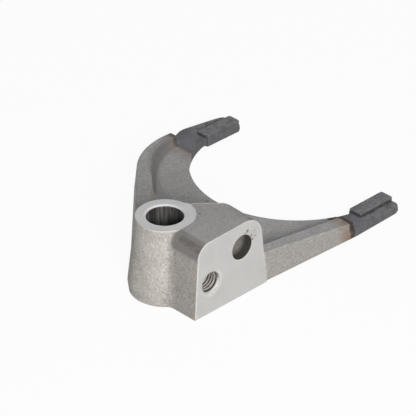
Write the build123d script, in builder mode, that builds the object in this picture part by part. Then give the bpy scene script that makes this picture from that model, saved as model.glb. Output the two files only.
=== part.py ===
from build123d import *
from math import acos, atan2, cos, degrees, radians, sin, sqrt, tan
import os

# Shift fork, forged in one piece: a tall bored boss with a faced block beside it, and two flat
# arms that end in hardened pads on either side of a sliding sleeve.
# The origin is on the rail bore's axis at the underside. +Z runs up the bore, +Y points from the
# boss towards the fork's open end, and +X is the outward normal of the block's faced side.

# rail boss
rail_bore_diameter = 20.0
bore_chamfer = 0.9
boss_height = 45.0
boss_top_diameter = 31.6
boss_draft = 6.5
parting_height = 5.5
boss_under_draft = 6.5
spotface_diameter = 33.6
spotface_depth = 0.4

# faced block beside the boss: its walls lean in, and its top falls from the boss to the face
face_distance = 34.5
block_front = 11.6
block_front_draft = 3.5
block_back = 41.8
block_back_draft = 7.0
block_top_fall = 3.5
block_top_slant = 1.6
block_shoulder_radius = 8.5
block_back_edge_radius = 12.5
valley_radius = 6.0
valley_bite = 0.08

# slanting nook between the block's back and the boss
nook_y = 18.6
nook_angle = 45.6
nook_draft = 5.0
nook_edge_radius = 2.5

# holes in the faced side
plain_hole_diameter = 14.0
plain_hole_y = 22.9
plain_hole_z = 30.4
plain_hole_depth = 24.0
plain_hole_chamfer = 0.3
drill_point_angle = 118.0
thread_diameter = 12.0
thread_mouth_diameter = 13.2
thread_hole_z = 18.6

# fork opening and web
throat_x = -33.95
throat_radius = 60.3
throat_depth = 14.3
web_thickness = 5.6

# arms, and the rim that stands along their outer edge
left_wall_distance = 19.5
left_corner_drop = 12.7
arm_half_width = 72.0
right_widest_drop = 9.7
rim_width = 11.2
rim_draft = 6.5
underside_bevel_height = 1.5
underside_bevel_angle = 30.0
rim_height_at_block = 17.6
rim_fall_angle = 6.9
rim_foot_radius = 2.5
rim_edge_radius = 1.0
left_rim_end_width = 7.0
left_hollow_radius = 54.0

# hardened ends: a slot and a flat milled across each arm, and a raised pad beside the opening
left_slot_width = 16.2
right_slot_width = 11.4
slot_root_radius = 2.8
flat_height = 5.3
pad_gap = 112.4
pad_width = 8.8
pad_start_y = 119.7
pad_length = 26.6
pad_height = 7.3
pad_entry_radius = 1.6
pad_corner_radius = 0.6
pad_tip_radius = 1.5
left_swell = 3.3
left_swell_drop = 4.0
left_swell_radius = 12.0
left_strip_at_tip = 4.4
right_strip_at_tip = 6.2
tip_corner_radius = 4.0

bore_radius = rail_bore_diameter / 2
boss_top_radius = boss_top_diameter / 2
boss_parting_radius = boss_top_radius + (boss_height - parting_height) * tan(radians(boss_draft))
boss_foot_radius = boss_parting_radius - parting_height * tan(radians(boss_under_draft))
spotface_radius = spotface_diameter / 2
pad_side_x = pad_gap / 2
pad_outer_x = pad_side_x + pad_width
tip_y = pad_start_y + pad_length
left_corner_y = pad_start_y - left_corner_drop
left_swell_y = pad_start_y - left_swell_drop
plain_hole_radius = plain_hole_diameter / 2
drill_point = plain_hole_radius / tan(radians(drill_point_angle / 2))
thread_radius = thread_diameter / 2
thread_mouth_radius = thread_mouth_diameter / 2
left_x = throat_x - arm_half_width
right_x = throat_x + arm_half_width

# The block's height on its faced side, above the bore's axis, and how far its walls lean in.
top_fall = tan(radians(block_top_fall))
top_slant = tan(radians(block_top_slant))
head_height = boss_height + spotface_depth
block_height = head_height - (face_distance - spotface_radius) * top_fall
block_front_top = block_height * tan(radians(block_front_draft)) - block_front
block_back_top = block_back - block_height * tan(radians(block_back_draft))
nook_plane = Plane(
    origin=(0, nook_y, boss_height),
    x_dir=(cos(radians(nook_angle)), sin(radians(nook_angle)), 0),
    z_dir=(-sin(radians(nook_angle)), cos(radians(nook_angle)), tan(radians(nook_draft))),
)
shoulder_plane = Plane(
    origin=(0, -block_front, block_height - block_shoulder_radius),
    x_dir=(1, 0, 0),
    z_dir=(0, -1, 1),
)

# The left outer wall passes the bore's axis at its own distance and is tangent to the arm's
# outer corner.
corner_center = Vector(throat_x, left_corner_y)
wall_turn = acos((left_wall_distance - arm_half_width) / corner_center.length)
wall_normal = Vector(1, 0).rotate(Axis.Z, degrees(atan2(left_corner_y, throat_x) + wall_turn))
wall_start = wall_normal * left_wall_distance
wall_end = corner_center + wall_normal * arm_half_width

# The hollow's wall runs beside it at the rim's width, and its corner has a wider sweep, so that the
# rim narrows towards the left arm's end.
hollow_distance = left_wall_distance - rim_width
hollow_left_x = left_x + left_rim_end_width
hollow_center_x = hollow_left_x + left_hollow_radius
hollow_center = Vector(
    hollow_center_x,
    (hollow_distance - left_hollow_radius - wall_normal.X * hollow_center_x) / wall_normal.Y,
)
hollow_start = wall_normal * hollow_distance
hollow_end = hollow_center + wall_normal * left_hollow_radius

rim_height_at_boss = rim_height_at_block + block_back * tan(radians(rim_fall_angle))
rim_plane = Plane(
    origin=(0, 0, rim_height_at_boss),
    x_dir=(1, 0, 0),
    z_dir=(0, sin(radians(rim_fall_angle)), cos(radians(rim_fall_angle))),
)

# Plan outline of the plate, with the fork's opening still filled.
with BuildSketch() as outline:
    with BuildLine():
        Polyline(
            wall_end,
            wall_start,
            (0, 0),
            (face_distance, 0),
            (face_distance, block_back),
            (right_x, pad_start_y - right_widest_drop),
            (throat_x + pad_outer_x + right_strip_at_tip, tip_y),
            (throat_x - pad_outer_x - left_strip_at_tip, tip_y),
            (left_x - left_swell, left_swell_y),
            (left_x, left_corner_y),
        )
        TangentArc((left_x, left_corner_y), wall_end, tangent=(0, -1))
    make_face()
    fillet(outline.vertices().group_by(Axis.Y)[-1], tip_corner_radius)
    for bend in (Vector(left_x, left_corner_y), Vector(left_x - left_swell, left_swell_y)):
        fillet(outline.vertices().sort_by_distance(bend)[0], left_swell_radius)

# The hollow above the web, whose walls open upwards and meet the web in a fillet.
with BuildPart() as hollow:
    with BuildSketch(Plane.XY.offset(web_thickness)):
        with BuildLine():
            Polyline(
                hollow_end,
                hollow_start,
                (face_distance - rim_width, 0),
                (face_distance - rim_width, block_back),
                (right_x - rim_width, pad_start_y - right_widest_drop),
                (right_x - rim_width, tip_y + rim_width),
                (hollow_left_x, tip_y + rim_width),
                (hollow_left_x, hollow_center.Y),
            )
            TangentArc((hollow_left_x, hollow_center.Y), hollow_end, tangent=(0, -1))
        make_face()
    extrude(amount=boss_height, taper=-rim_draft)
    fillet(hollow.faces().sort_by(Axis.Z)[0].edges(), rim_foot_radius)

# The plate with its rim: a drafted slab whose top falls towards the tips, less the hollow.
with BuildPart() as plate:
    with BuildSketch(Plane.XY.offset(underside_bevel_height)) as parting_outline:
        add(outline.sketch)
    extrude(amount=boss_height, taper=rim_draft)
    extrude(parting_outline.sketch, amount=-underside_bevel_height, taper=underside_bevel_angle)
    split(bisect_by=rim_plane, keep=Keep.BOTTOM)
    add(hollow.part, mode=Mode.SUBTRACT)
    rim_top = plate.faces().filter_by(rim_plane)[0]
    fillet(rim_top.edges(), rim_edge_radius)

# The fork's opening: a round throat, then straight between the pads to the tips.
with BuildPart() as opening:
    with BuildSketch():
        with Locations((throat_x, pad_start_y + throat_depth)):
            Circle(throat_radius)
        with Locations((throat_x, pad_start_y)):
            Rectangle(
                3 * throat_radius, throat_radius, align=(Align.CENTER, Align.MIN), mode=Mode.SUBTRACT
            )
            Rectangle(pad_gap, throat_radius, align=(Align.CENTER, Align.MIN))
    extrude(amount=boss_height)
    corners = opening.edges().filter_by(Axis.Z).sort_by(Axis.X)
    fillet([corners[0], corners[-1]], pad_entry_radius)

# What the cutter takes off across the two arm ends: it starts sooner on the left arm.
with BuildPart() as end_cut:
    for side, slot_width in ((-1, left_slot_width), (1, right_slot_width)):
        slot_y = pad_start_y - slot_width
        with BuildSketch(Plane.YZ.offset(throat_x)):
            with BuildLine():
                Polyline(
                    (slot_y + slot_root_radius, flat_height),
                    (tip_y, flat_height),
                    (tip_y, boss_height),
                    (slot_y, boss_height),
                    (slot_y, flat_height + slot_root_radius),
                )
                TangentArc(
                    (slot_y, flat_height + slot_root_radius),
                    (slot_y + slot_root_radius, flat_height),
                    tangent=(0, -1),
                )
            make_face()
        extrude(amount=side * 2 * arm_half_width)

# The raised pads on both sides of the opening.
with BuildPart() as pads:
    with BuildSketch(Plane.XY.offset(web_thickness / 2)) as pad_plan:
        for side in (-1, 1):
            with Locations((throat_x + side * (pad_side_x + pad_width / 2), pad_start_y)):
                Rectangle(pad_width, pad_length, align=(Align.CENTER, Align.MIN))
        fillet(pad_plan.vertices().group_by(Axis.Y)[0], pad_corner_radius)
        fillet(pad_plan.vertices().group_by(Axis.Y)[-1], pad_tip_radius)
    extrude(amount=pad_height - web_thickness / 2)
    pad_tops = pads.faces().sort_by(Axis.Z)[-2:]
    fillet(
        pad_tops.edges().filter_by_position(Axis.Y, tip_y - pad_tip_radius, tip_y),
        pad_corner_radius,
    )

# The block: the outline of its faced side carried towards the boss, rising with its top, and
# cut back at a slant where it meets the boss.
with BuildPart() as block:
    with BuildSketch(Plane.YZ.offset(face_distance)) as face_outline:
        Polygon(
            (-block_front, -boss_height),
            (block_back, -boss_height),
            (block_back, 0),
            (block_back_top, block_height + block_back_top * top_slant),
            (block_front_top, block_height + block_front_top * top_slant),
            (-block_front, 0),
            align=None,
        )
        fillet(face_outline.vertices().sort_by(Axis.Y)[-1], block_back_edge_radius)
        front_top = face_outline.vertices().filter_by_position(Axis.X, -block_front, 0)
        fillet(front_top.sort_by(Axis.Y)[-1], block_shoulder_radius)
    extrude(amount=face_distance + bore_radius, dir=(-1, 0, top_fall))
    split(bisect_by=nook_plane, keep=Keep.BOTTOM)
    split(bisect_by=Plane.XY, keep=Keep.TOP)
    split(bisect_by=Plane.XY.offset(head_height), keep=Keep.BOTTOM)
    nook_face = block.faces().sort_by(Axis((0, 0, 0), nook_plane.z_dir))[-1]
    fillet(
        nook_face.edges().filter_by(lambda edge: edge.center().Z > 1 and edge.center().X > 0),
        nook_edge_radius,
    )

# The soft valley where the block's front wall meets the boss, bevelled off at the shoulder.
with BuildPart() as valley:
    for height, boss_radius, wall_y in (
        (0, boss_foot_radius, -block_front),
        (parting_height, boss_parting_radius, -block_front),
        (boss_height, boss_top_radius, block_front_top),
    ):
        reach = boss_radius - valley_bite + valley_radius
        center_y = wall_y + valley_bite - valley_radius
        center = Vector(sqrt(reach**2 - center_y**2), center_y)
        boss_end = center * (1 - valley_radius / reach)
        block_end = center + Vector(0, valley_radius)
        middle = center + ((boss_end + block_end) / 2 - center).normalized() * valley_radius
        with BuildSketch(Plane.XY.offset(height)):
            with BuildLine():
                ThreePointArc(boss_end, middle, block_end)
                Polyline(block_end, (center.X, 0), (boss_end.X / 2, 0), boss_end)
            make_face()
    loft(ruled=True)
    split(bisect_by=shoulder_plane, keep=Keep.BOTTOM)

# The boss, two cones round the rail bore that meet at the parting line, and the block beside it.
with BuildPart() as head:
    with BuildSketch(Plane.XZ):
        Polygon(
            (0, 0),
            (boss_foot_radius, 0),
            (boss_parting_radius, parting_height),
            (boss_top_radius, boss_height),
            (boss_top_radius, head_height),
            (0, head_height),
            align=None,
        )
    revolve(axis=Axis.Z)
    add(block.part)
    add(valley.part)

# The blind plain hole, with the cone that the drill leaves.
with BuildPart() as plain_hole:
    with BuildSketch(Plane(origin=(face_distance, plain_hole_y, plain_hole_z))):
        with BuildLine():
            Polyline(
                (-plain_hole_depth - drill_point, 0),
                (-plain_hole_depth, plain_hole_radius),
                (-plain_hole_chamfer, plain_hole_radius),
                (0, plain_hole_radius + plain_hole_chamfer),
                (bore_radius, plain_hole_radius + plain_hole_chamfer),
                (bore_radius, 0),
                close=True,
            )
        make_face()
    revolve(axis=Axis((0, plain_hole_y, plain_hole_z), (1, 0, 0)))

# The locking screw's hole, through to the rail bore, at its thread's outer diameter.
with BuildPart() as screw_hole:
    with BuildSketch(Plane(origin=(face_distance, 0, thread_hole_z))):
        with BuildLine():
            Polyline(
                (-face_distance, 0),
                (-face_distance, thread_radius),
                (thread_radius - thread_mouth_radius, thread_radius),
                (0, thread_mouth_radius),
                (bore_radius, thread_mouth_radius),
                (bore_radius, 0),
                close=True,
            )
        make_face()
    revolve(axis=Axis((0, 0, thread_hole_z), (1, 0, 0)))

# The rail bore with its chamfered upper mouth, and the spotface round that.
with BuildPart() as rail_bore:
    with BuildSketch(Plane.XZ):
        with BuildLine():
            Polyline(
                (0, 0),
                (bore_radius, 0),
                (bore_radius, boss_height - bore_chamfer),
                (bore_radius + bore_chamfer, boss_height),
                (spotface_radius, boss_height),
                (spotface_radius, 2 * boss_height),
                (0, 2 * boss_height),
                close=True,
            )
        make_face()
    revolve(axis=Axis.Z)

with BuildPart() as shift_fork:
    add(plate.part)
    add(opening.part, mode=Mode.SUBTRACT)
    add(end_cut.part, mode=Mode.SUBTRACT)
    add(pads.part)
    add(head.part)
    add(rail_bore.part, mode=Mode.SUBTRACT)
    add(plain_hole.part, mode=Mode.SUBTRACT)
    add(screw_hole.part, mode=Mode.SUBTRACT)

os.makedirs("parts", exist_ok=True)
shift_fork.part.label = "shift_fork"
export_step(shift_fork.part, "parts/shift_fork.step")
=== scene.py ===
import bpy
from math import radians, sin, cos, pi
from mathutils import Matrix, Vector


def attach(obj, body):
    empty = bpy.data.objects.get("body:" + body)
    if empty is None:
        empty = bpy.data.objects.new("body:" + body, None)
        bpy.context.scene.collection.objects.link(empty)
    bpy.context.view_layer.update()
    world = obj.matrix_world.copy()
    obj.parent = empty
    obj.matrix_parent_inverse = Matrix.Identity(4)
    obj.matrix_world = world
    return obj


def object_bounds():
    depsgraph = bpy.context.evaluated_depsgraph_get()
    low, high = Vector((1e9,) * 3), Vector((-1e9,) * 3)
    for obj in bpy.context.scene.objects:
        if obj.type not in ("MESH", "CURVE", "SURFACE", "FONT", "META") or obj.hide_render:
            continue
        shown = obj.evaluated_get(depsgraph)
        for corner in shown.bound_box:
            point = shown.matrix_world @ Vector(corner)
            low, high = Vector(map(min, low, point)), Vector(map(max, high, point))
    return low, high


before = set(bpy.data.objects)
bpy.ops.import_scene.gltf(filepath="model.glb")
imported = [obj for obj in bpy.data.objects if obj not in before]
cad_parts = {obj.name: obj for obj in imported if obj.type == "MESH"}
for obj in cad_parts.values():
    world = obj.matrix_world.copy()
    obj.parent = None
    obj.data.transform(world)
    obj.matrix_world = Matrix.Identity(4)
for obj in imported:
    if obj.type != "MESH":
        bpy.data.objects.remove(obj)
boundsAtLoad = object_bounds()

# a short way to lay out a material's nodes; lengths are in metres, sizes of grain in millimetres

class NodeBook:
    def __init__(self, name):
        self.material = bpy.data.materials.new(name)
        self.material.use_nodes = True
        self.tree = self.material.node_tree
        self.tree.nodes.clear()
        self.output = self.tree.nodes.new("ShaderNodeOutputMaterial")
        self.skin = self.tree.nodes.new("ShaderNodeBsdfPrincipled")
        self.tree.links.new(self.skin.outputs[0], self.output.inputs[0])
        coordinates = self.tree.nodes.new("ShaderNodeTexCoord")
        self.place = coordinates.outputs["Object"]
        self.x, self.y, self.z = self.parts(self.place)
        self.facingX, self.facingY, self.facingZ = self.parts(coordinates.outputs["Normal"])

    def parts(self, vector):
        node = self.tree.nodes.new("ShaderNodeSeparateXYZ")
        self.tree.links.new(vector, node.inputs[0])
        return node.outputs

    def feed(self, socket, value):
        if isinstance(value, bpy.types.NodeSocket):
            self.tree.links.new(value, socket)
        elif isinstance(value, (tuple, list)) and len(value) == 3 and len(socket.default_value) == 4:
            socket.default_value = (*value, 1)
        else:
            socket.default_value = value

    def math(self, kind, first, second=0.0):
        node = self.tree.nodes.new("ShaderNodeMath")
        node.operation = kind
        self.feed(node.inputs[0], first)
        self.feed(node.inputs[1], second)
        return node.outputs[0]

    def add(self, first, second):
        return self.math("ADD", first, second)

    def less(self, value, amount):
        return self.math("SUBTRACT", value, amount)

    def rest(self, share):
        return self.less(1.0, share)

    def times(self, *values):
        total = values[0]
        for value in values[1:]:
            total = self.math("MULTIPLY", total, value)
        return total

    def either(self, *values):
        total = values[0]
        for value in values[1:]:
            total = self.math("MAXIMUM", total, value)
        return total

    def step(self, value, low, high, start=0.0, end=1.0):
        # a soft step: start below low, end above high
        node = self.tree.nodes.new("ShaderNodeMapRange")
        node.interpolation_type = "SMOOTHSTEP"
        for socket, number in zip(node.inputs, (value, low, high, start, end)):
            self.feed(socket, number)
        return node.outputs[0]

    def fade(self, value, low, high):
        # the other way round: 1 below low, 0 above high
        return self.step(value, low, high, 1.0, 0.0)

    def band(self, value, low, high, soft):
        return self.times(self.step(value, low - soft, low), self.fade(value, high, high + soft))

    def away(self, first, second):
        # distance from the axis that the two coordinates are measured from
        return self.math("SQRT", self.add(self.times(first, first), self.times(second, second)))

    def noise(self, size, detail=3.0, rough=0.55, stretch=None):
        # noise whose cells are about size millimetres wide
        where = self.place
        if stretch:
            scaler = self.tree.nodes.new("ShaderNodeVectorMath")
            scaler.operation = "MULTIPLY"
            self.feed(scaler.inputs[0], where)
            scaler.inputs[1].default_value = stretch
            where = scaler.outputs[0]
        node = self.tree.nodes.new("ShaderNodeTexNoise")
        self.feed(node.inputs["Vector"], where)
        node.inputs["Scale"].default_value = 1000 / size
        node.inputs["Detail"].default_value = detail
        node.inputs["Roughness"].default_value = rough
        return node.outputs[0]

    def grains(self, size, low, high):
        # small round grains: 1 in the middle of each, 0 between them
        node = self.tree.nodes.new("ShaderNodeTexVoronoi")
        self.feed(node.inputs["Vector"], self.place)
        node.inputs["Scale"].default_value = 1000 / size
        return self.fade(node.outputs["Distance"], low, high)

    def spot(self, where, size, soft):
        # 1 within size of a place, with a soft border
        node = self.tree.nodes.new("ShaderNodeVectorMath")
        node.operation = "DISTANCE"
        self.feed(node.inputs[0], self.place)
        node.inputs[1].default_value = where
        return self.fade(node.outputs["Value"], size, size + soft)

    def mix(self, share, first, second):
        node = self.tree.nodes.new("ShaderNodeMix")
        node.data_type = "RGBA"
        self.feed(node.inputs[0], share)
        self.feed(node.inputs[6], first)
        self.feed(node.inputs[7], second)
        return node.outputs[2]

    def blendNumber(self, share, first, second):
        node = self.tree.nodes.new("ShaderNodeMix")
        self.feed(node.inputs[0], share)
        self.feed(node.inputs[2], first)
        self.feed(node.inputs[3], second)
        return node.outputs[0]

    def crowding(self, distance, inside):
        # how much metal is near: inside finds the outer edges, outside finds the creases
        node = self.tree.nodes.new("ShaderNodeAmbientOcclusion")
        node.samples = 8
        node.inside = inside
        node.only_local = True
        node.inputs["Distance"].default_value = distance
        return self.rest(node.outputs["AO"])

    def bump(self, height, depth, under=None):
        # depth is the relief in millimetres between height 0 and 1
        node = self.tree.nodes.new("ShaderNodeBump")
        node.inputs["Strength"].default_value = 1.0
        node.inputs["Distance"].default_value = depth / 1000
        self.feed(node.inputs["Height"], height)
        if under is not None:
            self.feed(node.inputs["Normal"], under)
        return node.outputs[0]


# the forging: blasted skin, milled side, ring and holes, and the two hardened ends

forging = {
    # blasted walls, and the skin that faces up, a darker copy whose darkness is painted shade
    "wall": (0.575, 0.540, 0.496),
    "wallPale": (0.73, 0.683, 0.625),
    "wallDark": (0.34, 0.318, 0.295),
    "top": (0.43, 0.42, 0.415),
    "topPale": (0.53, 0.52, 0.515),
    "topDark": (0.31, 0.303, 0.298),
    "creaseShade": (0.22, 0.212, 0.205),
    # painted shade on the front and arm walls, the rim's foot and the shoulder; the duller block top,
    # grease, the painted crest highlight; and how much of each shows
    "wallShade": (0.215, 0.199, 0.181),
    "wallShadePale": (0.37, 0.343, 0.314),
    "wallShadeShare": 0.52,
    "armShade": (0.318, 0.298, 0.276),
    "armShadePale": (0.415, 0.389, 0.358),
    "armShadeShare": 0.85,
    "footShade": (0.20, 0.196, 0.194),
    "footShare": 0.85,
    "blockTop": (0.30, 0.292, 0.285),
    "blockTopShare": 0.5,
    "shoulder": (0.20, 0.193, 0.182),
    "shoulderShare": 0.8,
    "grease": (0.15, 0.125, 0.115),
    "greaseShare": 0.8,
    "crestShare": 0.75,
    "topSpecks": (
        ((0.0124, 0.0136, 0.0446), 0.0004),
        ((0.0261, 0.0263, 0.0441), 0.0005),
        ((0.0330, 0.0300, 0.0436), 0.0009),
        ((-0.0402, 0.0705, 0.0056), 0.0003),
    ),
    # hardened ends
    "hard": (0.216, 0.209, 0.218),
    "hardPale": (0.30, 0.292, 0.29),
    "hardDark": (0.12, 0.117, 0.125),
    "slotBlue": (0.186, 0.183, 0.203),
    "scorchAndShade": (0.028, 0.025, 0.024),
    "scorchRight": 0.94,
    "scorchLeft": 0.5,
    "tint": (0.27, 0.175, 0.11),
    "tintRose": (0.29, 0.228, 0.195),
    "tintReach": 0.0135,
    # milled side
    "faced": (0.568, 0.562, 0.546),
    "facedCool": (0.537, 0.531, 0.517),
    "facedPale": (0.71, 0.69, 0.655),
    "knocked": (0.78, 0.69, 0.64),
    "paintedHighlight": (0.86, 0.84, 0.805),
    "cutterPitch": 0.0011,
    "rust": (0.12, 0.058, 0.036),
    "rustStain": (0.42, 0.34, 0.28),
    "rustSpecks": (
        # y and z on the milled side, size, share
        (0.0269, 0.0387, 0.0006, 0.95),
        (0.0264, 0.0379, 0.0003, 0.7),
        (0.0296, 0.0347, 0.0005, 0.85),
        (0.0306, 0.0323, 0.0005, 0.8),
        (0.0327, 0.0334, 0.0004, 0.4),
        (0.0321, 0.0367, 0.0003, 0.3),
        (0.0247, 0.0379, 0.0003, 0.5),
    ),
    # ring, bore and holes
    "ring": (0.665, 0.655, 0.665),
    "ringCool": (0.615, 0.605, 0.615),
    "ringPale": (0.76, 0.745, 0.745),
    "turningPitch": 0.0007,
    "boreDark": (0.065, 0.064, 0.061),
    "borePale": (0.27, 0.264, 0.255),
    "holeDark": (0.13, 0.12, 0.105),
    "holePale": (0.62, 0.58, 0.52),
    "threadRoot": (0.055, 0.05, 0.046),
    # surface; the relief is in millimetres
    "gloss": 0.36,
    "reliefDepth": 0.30,
    "edgeRound": 0.0009,
    "cutEdgeRound": 0.00025,
    # where the solid has its features, in metres and degrees
    "facedX": 0.0345,
    "facedEnd": 0.0419,
    "ringZ": 0.045,
    "ringRadius": 0.0168,
    "mouthRadius": 0.0112,
    "boreRadius": 0.0101,
    "plainHole": (0.0229, 0.0304),
    "plainRadius": 0.00725,
    "screwHole": (0.0, 0.0186),
    "screwRadius": 0.0063,
    "threadEnd": 0.0325,
    "leftSlot": 0.1035,
    "rightSlot": 0.1083,
    "middleX": -0.034,
    "padZ": 0.0073,
    "rimRun": (0.7009, 0.7133, 0.0083),
    "rimBend": (-0.04495, 0.1082, 0.054),
    "nookSlant": 45.6,
    "nookY": 0.0186,
}


def layNoises(book):
    # the noises and masks that several finishes share
    book.cloud = book.noise(13, detail=3)
    book.patch = book.noise(4.5, detail=4, rough=0.6)
    book.grit = book.noise(1.15, detail=2.5, rough=0.65)
    book.fine = book.noise(0.5, detail=2, rough=0.6)
    book.radius = book.away(book.x, book.y)
    book.upward = book.step(book.facingZ, 0.45, 0.9)
    book.crease = book.step(book.crowding(0.0045, False), 0.12, 0.6)
    book.corner = book.step(book.crowding(0.0009, True), 0.15, 0.55)


def blastedSkin(book, look):
    # walls: warm grey with pale shot marks and dark pits
    shine = book.grains(1.0, 0.16, 0.36)
    wall = book.mix(book.step(book.cloud, 0.35, 0.65, 0.0, 0.35), look["wall"], look["wallDark"])
    wall = book.mix(book.step(book.patch, 0.5, 0.7, 0.0, 0.28), wall, look["wallPale"])
    wall = book.mix(book.step(book.grit, 0.5, 0.68, 0.0, 0.75), wall, look["wallPale"])
    wall = book.mix(book.step(book.grit, 0.32, 0.45, 0.65, 0.0), wall, look["wallDark"])
    wall = book.mix(book.times(shine, book.step(book.fine, 0.45, 0.6), 0.6), wall, look["wallPale"])

    # upward skin: cooler, darker as painted shade on the tops, and smoother, with faint streaks along
    # the arms
    streak = book.noise(1.6, detail=3, stretch=(1.0, 0.16, 1.0))
    top = book.mix(book.step(book.cloud, 0.35, 0.66, 0.0, 0.4), look["top"], look["topDark"])
    top = book.mix(book.step(streak, 0.5, 0.7, 0.0, 0.35), top, look["topPale"])
    top = book.mix(book.step(book.grit, 0.5, 0.64, 0.0, 0.85), top, look["topPale"])
    top = book.mix(book.step(book.grit, 0.34, 0.47, 0.75, 0.0), top, look["topDark"])
    return book.mix(book.upward, wall, top)


def shadedWalls(book, look, skin):
    # painted shade on the block's front wall where it faces -y, from the valley on
    frontWallShade = book.times(
        book.step(book.x, 0.0120, 0.0158),
        book.fade(book.facingY, -0.78, -0.45),
        book.step(book.patch, 0.3, 0.6, 0.75, 1.0),
        look["wallShadeShare"],
    )
    shadedWall = book.mix(book.step(book.grit, 0.42, 0.62), look["wallShade"], look["wallShadePale"])
    skin = book.mix(frontWallShade, skin, shadedWall)

    # painted shade on the right arm's outer wall, where it faces +x, so that it is darker than the boss
    armWallShade = book.times(
        book.step(book.facingX, 0.8, 0.93),
        book.step(book.y, 0.0415, 0.043),
        look["armShadeShare"],
    )
    armShaded = book.mix(book.step(book.grit, 0.40, 0.62), look["armShade"], look["armShadePale"])
    return book.mix(armWallShade, skin, armShaded)


def shadedRimFoot(book, look, skin):
    # dark band along the foot of the left rim: along its straight run and round its corner
    runX, runY, runAway = look["rimRun"]
    bendX, bendY, bendRadius = look["rimBend"]
    fromRun = book.less(runAway, book.add(book.times(book.x, -runX), book.times(book.y, -runY)))
    fromBend = book.less(bendRadius, book.away(book.less(book.x, bendX), book.less(book.y, bendY)))
    fromFoot = book.math("MINIMUM", fromRun, fromBend)
    foot = book.times(
        book.band(fromFoot, -0.0028, 0.0020, 0.0016),
        book.fade(book.x, -0.012, -0.008),
        book.step(book.facingZ, 0.985, 0.9985, 1.0, 0.55),
        book.step(book.z, 0.005, 0.0054),
        book.step(book.facingZ, 0.9, 0.97, 1.0, 0.6),
        look["footShare"],
    )
    return book.mix(foot, skin, look["footShade"])


def markedBlock(book, look, skin):
    # the block's top is duller and more even than the rest of the skin
    onBlock = book.times(book.upward, book.step(book.z, 0.040, 0.043), look["blockTopShare"])
    skin = book.mix(onBlock, skin, look["blockTop"])

    # painted shade over its front shoulder, grease along it, and a few dark specks on top
    shoulderShadeMask = book.times(
        book.band(book.x, 0.0165, 0.0345, 0.0035),
        book.band(book.z, 0.0375, 0.0460, 0.004),
        book.fade(book.y, -0.0045, -0.0020),
        look["shoulderShare"],
    )
    skin = book.mix(shoulderShadeMask, skin, look["shoulder"])
    smear = book.times(
        book.band(book.x, 0.020, 0.0335, 0.0025),
        book.band(book.y, -0.0078, -0.0064, 0.0012),
        book.step(book.noise(3.0, 5, 0.8, (0.55, 1.6, 1.6)), 0.33, 0.56),
        book.step(book.z, 0.036, 0.038),
        look["greaseShare"],
    )
    skin = book.mix(smear, skin, look["grease"])

    # a painted highlight where the boss turns over to its ring
    collarHighlight = book.times(
        book.band(book.z, 0.0441, 0.0449, 0.0003),
        book.fade(book.radius, 0.0163, 0.0166),
        0.8,
    )
    skin = book.mix(collarHighlight, skin, look["wallPale"])
    for where, size in look["topSpecks"]:
        skin = book.mix(book.times(book.spot(where, size, 0.0012), 0.7), skin, look["grease"])

    # a painted highlight along the nook's edge: a pale crest across the top
    slant = radians(look["nookSlant"])
    besideNook = book.times(book.less(book.y, look["nookY"]), cos(slant))
    fromNook = book.less(book.times(book.x, sin(slant)), besideNook)
    crest = book.times(
        book.band(fromNook, 0.0018, 0.0023, 0.0005),
        book.step(book.z, 0.0425, 0.0435),
        book.step(book.radius, 0.0172, 0.0180),
        book.fade(book.y, 0.030, 0.034),
        look["crestShare"],
    )
    return book.mix(crest, skin, look["wallPale"])


def wornEdgesAndCreaseShade(book, look, skin):
    # pale crown where the skin turns over an edge, painted shade where it lies in a corner
    crown = book.mix(book.upward, look["wallPale"], look["topPale"])
    skin = book.mix(book.times(book.corner, 0.45), skin, crown)
    return book.mix(book.times(book.crease, 0.7), skin, look["creaseShade"])


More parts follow.
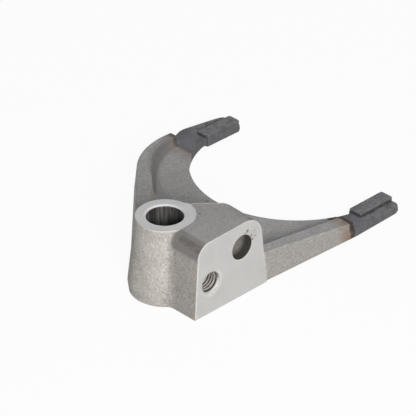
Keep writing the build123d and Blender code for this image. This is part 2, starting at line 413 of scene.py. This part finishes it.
def hardenedEnds(book, look, skin):
    # along is the distance past each arm's slot, with a wandering border
    leftArm = book.fade(book.x, look["middleX"] - 0.001, look["middleX"] + 0.001)
    slotStart = book.blendNumber(leftArm, look["rightSlot"], look["leftSlot"])
    wander = book.times(book.less(book.patch, 0.5), 0.0045)
    along = book.add(book.less(book.y, book.less(slotStart, 0.0020)), wander)

    # brown before the slot, but not on the right arm's web
    heatStreak = book.noise(2.0, detail=3, rough=0.6, stretch=(1.0, 0.12, 1.0))
    coolWeb = book.times(book.upward, book.fade(book.z, 0.0060, 0.0070), book.rest(leftArm))
    warm = book.times(
        book.step(along, -look["tintReach"], -0.0005),
        book.step(heatStreak, 0.3, 0.62, 0.4, 1.0),
        book.rest(coolWeb),
        book.blendNumber(leftArm, 0.9, 0.675),
    )
    tintColour = book.mix(book.times(leftArm, 0.8), look["tint"], look["tintRose"])
    skin = book.mix(warm, skin, tintColour)

    # dark and mottled past it
    hard = book.mix(book.step(book.patch, 0.42, 0.62), look["hard"], look["hardDark"])
    hard = book.mix(book.step(book.grit, 0.5, 0.66, 0.0, 0.75), hard, look["hardPale"])
    hard = book.mix(book.times(book.corner, 0.55), hard, look["hardPale"])
    hard = book.mix(book.times(book.fade(book.facingZ, 0.3, 0.7), 0.65), hard, look["hardDark"])

    # bluish floor of the slot, before the pads
    slotFloor = book.times(
        book.step(book.facingZ, 0.8, 0.95),
        book.band(book.z, 0.0045, 0.0056, 0.0003),
        book.step(along, 0.001, 0.002),
        book.fade(book.y, 0.1175, 0.1215),
        0.85,
    )
    slotColour = book.mix(book.step(book.cloud, 0.4, 0.62), look["slotBlue"], look["hardDark"])
    hard = book.mix(slotFloor, hard, slotColour)

    # pads: rubbed on top, a little rust on the left one's side
    padWorn = book.times(
        book.band(book.z, look["padZ"] - 0.0002, look["padZ"] + 0.0002, 0.0002),
        book.step(book.noise(1.4, 4, 0.7, (1.0, 0.3, 1.0)), 0.5, 0.66),
        0.6,
    )
    hard = book.mix(padWorn, hard, look["hardPale"])
    padRust = book.times(
        book.step(book.facingX, 0.6, 0.9),
        leftArm,
        book.step(book.noise(2.2, 4, 0.7), 0.52, 0.68),
        book.step(book.y, 0.121, 0.124),
        0.5,
    )
    hard = book.mix(padRust, hard, look["rust"])
    # painted shade in the creases, in the scorch colour
    hard = book.mix(book.times(book.crease, 0.85), hard, look["scorchAndShade"])
    hardened = book.step(along, -0.0006, 0.0012)
    skin = book.mix(hardened, skin, hard)

    # the scorched line between them, weaker on the left arm
    scorched = book.times(
        book.band(along, -0.0010, 0.0006, 0.0014),
        book.step(book.z, 0.0050, 0.0070, 0.85, 1.0),
        book.blendNumber(leftArm, look["scorchRight"], look["scorchLeft"]),
    )
    return book.mix(scorched, skin, look["scorchAndShade"]), hardened


def chamferHighlight(book, centre, fromCentre, low, high, soft):
    # painted highlight on the lower right side of a hole's rim
    centreY, centreZ = centre
    toRight = book.times(book.less(book.y, centreY), 90.0)
    toBottom = book.times(book.less(centreZ, book.z), 60.0)
    lowerRight = book.add(toRight, toBottom)
    return book.times(book.band(fromCentre, low, high, soft), book.step(lowerRight, -0.3, 0.5))


def milledSide(book, look, fromPlain, fromScrew):
    # an even pale grey with the cutter's faint arcs
    onFace = book.times(
        book.step(book.facingX, 0.9, 0.98),
        book.fade(book.y, look["facedEnd"], look["facedEnd"] + 0.0001),
        book.step(book.x, look["facedX"] - 0.00012, look["facedX"] - 0.00004),
    )
    cutter = book.away(book.less(book.y, 0.004), book.add(book.z, 0.052))
    sweep = book.times(cutter, 2 * pi / look["cutterPitch"])
    arcs = book.math("SINE", book.add(sweep, book.times(book.patch, 4.0)))
    faced = book.mix(book.step(book.cloud, 0.34, 0.66), look["faced"], look["facedCool"])
    faced = book.mix(book.times(book.step(arcs, -1.0, 1.0), 0.16), faced, look["facedPale"])
    faced = book.mix(book.step(book.grit, 0.54, 0.72, 0.0, 0.3), faced, look["facedPale"])

    # painted highlights on the lower right of the hole mouths and along the face's edges
    rubbedAndHighlight = book.either(
        chamferHighlight(book, look["plainHole"], fromPlain, 0.0070, 0.0076, 0.0008),
        chamferHighlight(book, look["screwHole"], fromScrew, 0.0064, 0.0078, 0.0010),
    )
    faced = book.mix(book.times(rubbedAndHighlight, 0.8), faced, look["facedPale"])
    paintedHighlight = book.times(
        book.step(book.crowding(0.0018, True), 0.10, 0.45),
        book.step(book.y, -0.012, 0.010, 1.0, 0.3),
        book.step(book.noise(3.5, 2), 0.36, 0.54, 0.45, 1.0),
        book.step(book.z, 0.001, 0.004, 0.2, 1.0),
    )
    faced = book.mix(paintedHighlight, faced, look["paintedHighlight"])

    # rust above the plain hole, and one knock low down
    broken = book.step(book.noise(0.9, 3, 0.7), 0.36, 0.52)
    for y, z, size, share in look["rustSpecks"]:
        speck = book.spot((look["facedX"], y, z), size, 0.0007)
        faced = book.mix(book.times(speck, broken, share), faced, look["rust"])
    stained = book.spot((look["facedX"], 0.0295, 0.0355), 0.0016, 0.0030)
    faced = book.mix(book.times(stained, 0.14), faced, look["rustStain"])
    knock = book.times(
        book.spot((look["facedX"], -0.0115, 0.0015), 0.0010, 0.0022),
        book.step(book.fine, 0.35, 0.5),
        0.6,
    )
    return book.mix(knock, faced, look["knocked"]), onFace, arcs


def turnedRing(book, look):
    # the ring round the bore, ragged where it meets the rough top
    rag = book.times(book.less(book.noise(1.6, 3, 0.6), 0.5), 0.0014)
    onRing = book.times(
        book.step(book.z, look["ringZ"] - 0.00009, look["ringZ"] - 0.00003),
        book.fade(book.add(book.radius, rag), look["ringRadius"], look["ringRadius"] + 0.0003),
    )
    turning = book.math("SINE", book.times(book.radius, 2 * pi / look["turningPitch"]))
    ring = book.mix(book.step(book.cloud, 0.35, 0.65), look["ring"], look["ringCool"])
    ring = book.mix(book.times(book.step(turning, -1.0, 1.0), 0.22), ring, look["ringPale"])
    ring = book.mix(book.step(book.grit, 0.5, 0.7, 0.0, 0.4), ring, look["ringPale"])
    return ring, onRing, turning


def boreAndHoles(book, look, colour, fromPlain, fromScrew):
    # the bore: bright at the chamfer, and dark further in as painted shade, with pale streaks along it
    mouth = book.times(
        book.fade(book.radius, look["mouthRadius"], look["mouthRadius"] + 0.0001),
        book.step(book.z, 0.04405, 0.0442),
    )
    inBore = book.times(
        book.fade(book.radius, look["boreRadius"], look["boreRadius"] + 0.0002),
        book.fade(book.z, 0.0441, 0.0443),
    )
    boreStreaks = book.noise(1.5, detail=3, rough=0.6, stretch=(1.0, 1.0, 0.06))
    bore = book.mix(book.step(boreStreaks, 0.36, 0.74), look["boreDark"], look["borePale"])
    colour = book.mix(book.times(mouth, 0.9), colour, look["ringPale"])
    colour = book.mix(inBore, colour, bore)

    # the plain hole: dark inside as painted shade, with a pale band half way in
    sunk = book.step(book.facingX, -0.3, -0.1)
    inPlain = book.times(
        book.fade(fromPlain, look["plainRadius"], look["plainRadius"] + 0.0001),
        book.step(book.x, 0.004, 0.006),
        book.fade(book.x, 0.0342, 0.03445),
        sunk,
    )
    paleHoleBand = book.times(
        book.band(book.x, 0.0195, 0.0265, 0.004),
        book.step(book.noise(2.2, 4, 0.6), 0.25, 0.6, 0.55, 1.0),
    )
    plain = book.mix(paleHoleBand, look["holeDark"], look["holePale"])
    colour = book.mix(inPlain, colour, plain)

    # the screw's hole: painted shade between the turns; before the first one, painted light on the lower
    # wall and painted shade on the upper wall
    inWall = book.times(book.fade(fromScrew, look["screwRadius"], look["screwRadius"] + 0.0001), sunk)
    inScrew = book.times(
        inWall,
        book.step(book.x, 0.0079, 0.0082),
        book.fade(book.x, look["threadEnd"], look["threadEnd"] + 0.0004),
    )
    colour = book.mix(inScrew, colour, look["threadRoot"])
    mouthWall = book.times(inWall, book.step(book.x, look["threadEnd"], look["threadEnd"] + 0.0004), 0.9)
    screwZ = look["screwHole"][1]
    fromBottom = book.step(book.z, screwZ - 0.0030, screwZ + 0.0025)
    litAndShadedWall = book.mix(fromBottom, look["paintedHighlight"], look["wallShadePale"])
    colour = book.mix(mouthWall, colour, litAndShadedWall)
    return colour, mouth, book.either(inBore, inPlain, inScrew)


def fromAxis(book, centre):
    # distance from the axis of a hole in the milled side
    return book.away(book.less(book.y, centre[0]), book.less(book.z, centre[1]))


def makeForgingMaterial(look):
    book = NodeBook("blastedAndMachinedForging")
    layNoises(book)
    fromPlain = fromAxis(book, look["plainHole"])
    fromScrew = fromAxis(book, look["screwHole"])
    skin = blastedSkin(book, look)
    skin = shadedWalls(book, look, skin)
    skin = shadedRimFoot(book, look, skin)
    skin = markedBlock(book, look, skin)
    skin = wornEdgesAndCreaseShade(book, look, skin)
    skin, hardened = hardenedEnds(book, look, skin)
    faced, onFace, arcs = milledSide(book, look, fromPlain, fromScrew)
    ring, onRing, turning = turnedRing(book, look)
    colour = book.mix(onRing, book.mix(onFace, skin, faced), ring)
    colour, mouth, holes = boreAndHoles(book, look, colour, fromPlain, fromScrew)

    # cut metal is a little smoother than the skin, and the oily holes are the smoothest
    machined = book.either(onFace, onRing, mouth)
    skinRough = book.step(book.patch, 0.3, 0.7, 0.88, 0.76)
    cutRough = book.step(book.patch, 0.3, 0.7, 0.74, 0.66)
    metal = book.blendNumber(machined, book.blendNumber(holes, 0.12, 0.5), 0.14)
    rough = book.blendNumber(machined, book.blendNumber(holes, skinRough, 0.38), cutRough)
    book.feed(book.skin.inputs["Base Color"], colour)
    book.feed(book.skin.inputs["Metallic"], metal)
    book.feed(book.skin.inputs["Roughness"], rough)
    book.skin.inputs["Specular IOR Level"].default_value = look["gloss"]

    # relief: shot marks on the skin, fine tool marks where it was cut
    smallMarks = book.add(book.times(book.fine, 0.3), book.times(book.patch, 0.6))
    shotMarks = book.add(book.times(book.grit, 0.7), smallMarks)
    uncut = book.rest(book.either(machined, holes))
    skinRelief = book.times(shotMarks, uncut, book.blendNumber(book.upward, 1.0, 0.6))
    toolMarks = book.add(book.times(arcs, onFace, 0.01), book.times(turning, onRing, 0.012))
    cutEdge = book.either(onFace, onRing, hardened)
    soft = book.tree.nodes.new("ShaderNodeBevel")
    soft.samples = 6
    book.feed(soft.inputs["Radius"], book.blendNumber(cutEdge, look["edgeRound"], look["cutEdgeRound"]))
    relief = book.bump(book.add(skinRelief, toolMarks), look["reliefDepth"], under=soft.outputs[0])
    book.feed(book.skin.inputs["Normal"], relief)
    return book.material


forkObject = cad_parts["shift_fork"]
forgingMaterial = makeForgingMaterial(forging)
for slot in forkObject.material_slots:
    slot.material = forgingMaterial
print("forging finished", len(forkObject.data.polygons))

# the screw thread: one ridge wound along the hole in the milled side

threadTurns = {
    "centre": forging["screwHole"],
    "innerX": 0.0104,
    "mouthX": 0.0324,
    "pitch": 0.00175,
    "rootRadius": 0.00612,
    "crestRadius": 0.00512,
    "rootHalf": 0.00076,
    "crestHalf": 0.00013,
    "stepsPerTurn": 40,
    "crest": (0.52, 0.485, 0.45),
    "flank": (0.16, 0.14, 0.125),
    "oil": (0.10, 0.085, 0.075),
    "rubbedAndHighlight": (0.62, 0.59, 0.55),
}


def makeThreadMaterial(look):
    book = NodeBook("tappedTurns")
    outward = fromAxis(book, look["centre"])
    rub = book.noise(0.7, detail=3, rough=0.6)
    # pale crests and dark flanks: painted shade between the turns
    crestShare = book.fade(outward, look["crestRadius"] + 0.0001, look["rootRadius"] - 0.0003)
    oil = book.step(book.noise(2.4, 3), 0.4, 0.65)
    colour = book.mix(crestShare, look["flank"], look["crest"])
    colour = book.mix(book.times(oil, 0.35), colour, look["oil"])
    colour = book.mix(book.step(rub, 0.5, 0.7, 0.0, 0.4), colour, look["rubbedAndHighlight"])
    book.feed(book.skin.inputs["Base Color"], colour)
    book.feed(book.skin.inputs["Metallic"], 0.45)
    book.feed(book.skin.inputs["Roughness"], book.step(rub, 0.3, 0.7, 0.45, 0.3))
    book.feed(book.skin.inputs["Normal"], book.bump(rub, 0.03))
    return book.material


def makeThread(look):
    turns = (look["mouthX"] - look["innerX"]) / look["pitch"]
    steps = int(turns * look["stepsPerTurn"])
    centreY, centreZ = look["centre"]
    points = []
    for step in range(steps + 1):
        share = step / steps
        angle = 2 * pi * turns * share
        along = look["innerX"] + (look["mouthX"] - look["innerX"]) * share
        # the ridge runs out over half a turn at both ends
        rise = min(1.0, 2 * turns * share, 2 * turns * (1 - share))
        crest = look["rootRadius"] - (look["rootRadius"] - look["crestRadius"]) * max(rise, 0.05)
        section = ((-look["rootHalf"], look["rootRadius"]), (-look["crestHalf"], crest),
                   (look["crestHalf"], crest), (look["rootHalf"], look["rootRadius"]))
        for shift, radius in section:
            points.append((along + shift, centreY + radius * cos(angle), centreZ + radius * sin(angle)))
    faces = []
    for step in range(steps):
        for edge in range(4):
            first, second = 4 * step + edge, 4 * step + (edge + 1) % 4
            faces.append((first, second, second + 4, first + 4))
    # the two ends are closed
    faces.append((3, 2, 1, 0))
    faces.append((4 * steps, 4 * steps + 1, 4 * steps + 2, 4 * steps + 3))
    mesh = bpy.data.meshes.new("screwHoleThread")
    mesh.from_pydata(points, [], faces)
    mesh.validate()
    mesh.update()
    thread = bpy.data.objects.new("screwHoleThread", mesh)
    bpy.context.scene.collection.objects.link(thread)
    mesh.materials.append(makeThreadMaterial(look))
    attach(thread, "root")
    return thread


thread = makeThread(threadTurns)
print("thread wound", len(thread.data.polygons))

# stage: pale paper, one large soft lamp near the camera, and weak ones beside and behind the fork

stageLook = {
    "paper": (0.90, 0.90, 0.90),
    "paperPale": (0.92, 0.92, 0.92),
    "paperBounce": (0.55, 0.55, 0.55),
    "paperHalf": 3.0,
    "paperDrop": 0.0002,
    "shadowShare": 0.06,
    "lampTarget": (-0.01, 0.04, 0.015),
    "lampDistance": 1.2,
    "lamps": (
        # name, bearing and height in degrees, size in metres, power in watts
        ("softKey", -32, 26, 0.4, 11.5),
        ("sideFill", 20, 30, 0.7, 0.3),
        ("rearFill", 140, 50, 0.9, 1.9),
    ),
    "room": (0.96, 0.98, 1.0),
    "roomGrey": 0.16,
    "lens": 213.4,
    "cameraPlace": (0.80135, -0.75271, 0.72636),
    "cameraLooks": (-0.60845, 0.59556, -0.52449),
}


def seenDirectly(tree):
    # 1 for the camera, and for what metal and glass show
    rays = tree.nodes.new("ShaderNodeLightPath")
    most = rays.outputs["Is Camera Ray"]
    for name in ("Is Glossy Ray", "Is Transmission Ray"):
        node = tree.nodes.new("ShaderNodeMath")
        node.operation = "MAXIMUM"
        tree.links.new(most, node.inputs[0])
        tree.links.new(rays.outputs[name], node.inputs[1])
        most = node.outputs[0]
    return most


def makePaper(look):
    mesh = bpy.data.meshes.new("paperFloor")
    half = look["paperHalf"]
    level = boundsAtLoad[0][2] - look["paperDrop"]
    corners = [(-half, -half, level), (half, -half, level), (half, half, level), (-half, half, level)]
    mesh.from_pydata(corners, [], [(0, 1, 2, 3)])
    paper = bpy.data.objects.new("paperFloor", mesh)
    bpy.context.scene.collection.objects.link(paper)
    book = NodeBook("whitePaper")
    direct = seenDirectly(book.tree)
    tone = book.mix(book.noise(40), look["paper"], look["paperPale"])
    book.feed(book.skin.inputs["Base Color"], book.mix(direct, look["paperBounce"], tone))
    book.feed(book.skin.inputs["Roughness"], 0.9)
    glow = book.tree.nodes.new("ShaderNodeEmission")
    glow.inputs["Strength"].default_value = 1.0
    share = book.math("MULTIPLY", direct, 1 - look["shadowShare"])
    blend = book.tree.nodes.new("ShaderNodeMixShader")
    book.tree.links.new(share, blend.inputs[0])
    book.tree.links.new(book.skin.outputs[0], blend.inputs[1])
    book.tree.links.new(glow.outputs[0], blend.inputs[2])
    book.tree.links.new(blend.outputs[0], book.output.inputs[0])
    mesh.materials.append(book.material)


makePaper(stageLook)


def addLamp(look, name, bearing, rise, size, power):
    # a round lamp that looks at the fork from a bearing and a height in degrees
    target = Vector(look["lampTarget"])
    distance = look["lampDistance"]
    flat = cos(radians(rise)) * distance
    away = (flat * cos(radians(bearing)), flat * sin(radians(bearing)), distance * sin(radians(rise)))
    place = target + Vector(away)
    light = bpy.data.lights.new(name, "AREA")
    light.shape = "DISK"
    light.size = size
    light.energy = power
    lamp = bpy.data.objects.new(name, light)
    lamp.location = place
    lamp.rotation_euler = (target - place).to_track_quat("-Z", "Y").to_euler()
    bpy.context.scene.collection.objects.link(lamp)


for name, bearing, rise, size, power in stageLook["lamps"]:
    addLamp(stageLook, name, bearing, rise, size, power)

world = bpy.data.worlds.new("paleRoom")
bpy.context.scene.world = world
world.use_nodes = True
tree = world.node_tree
tree.nodes.clear()
worldOut = tree.nodes.new("ShaderNodeOutputWorld")
room = tree.nodes.new("ShaderNodeBackground")
white = tree.nodes.new("ShaderNodeBackground")
room.inputs["Color"].default_value = (*stageLook["room"], 1)
room.inputs["Strength"].default_value = stageLook["roomGrey"]
white.inputs["Color"].default_value = (1, 1, 1, 1)
white.inputs["Strength"].default_value = 1.0
pick = tree.nodes.new("ShaderNodeMixShader")
tree.links.new(seenDirectly(tree), pick.inputs[0])
tree.links.new(room.outputs[0], pick.inputs[1])
tree.links.new(white.outputs[0], pick.inputs[2])
tree.links.new(pick.outputs[0], worldOut.inputs[0])

cameraData = bpy.data.cameras.new("benchCamera")
cameraData.sensor_width = 36
cameraData.lens = stageLook["lens"]
cameraData.clip_start = 0.05
camera = bpy.data.objects.new("benchCamera", cameraData)
camera.location = stageLook["cameraPlace"]
camera.rotation_euler = Vector(stageLook["cameraLooks"]).to_track_quat("-Z", "Y").to_euler()
bpy.context.scene.collection.objects.link(camera)
bpy.context.scene.camera = camera
bpy.context.scene.view_settings.view_transform = "Standard"
print("stage and camera ready")
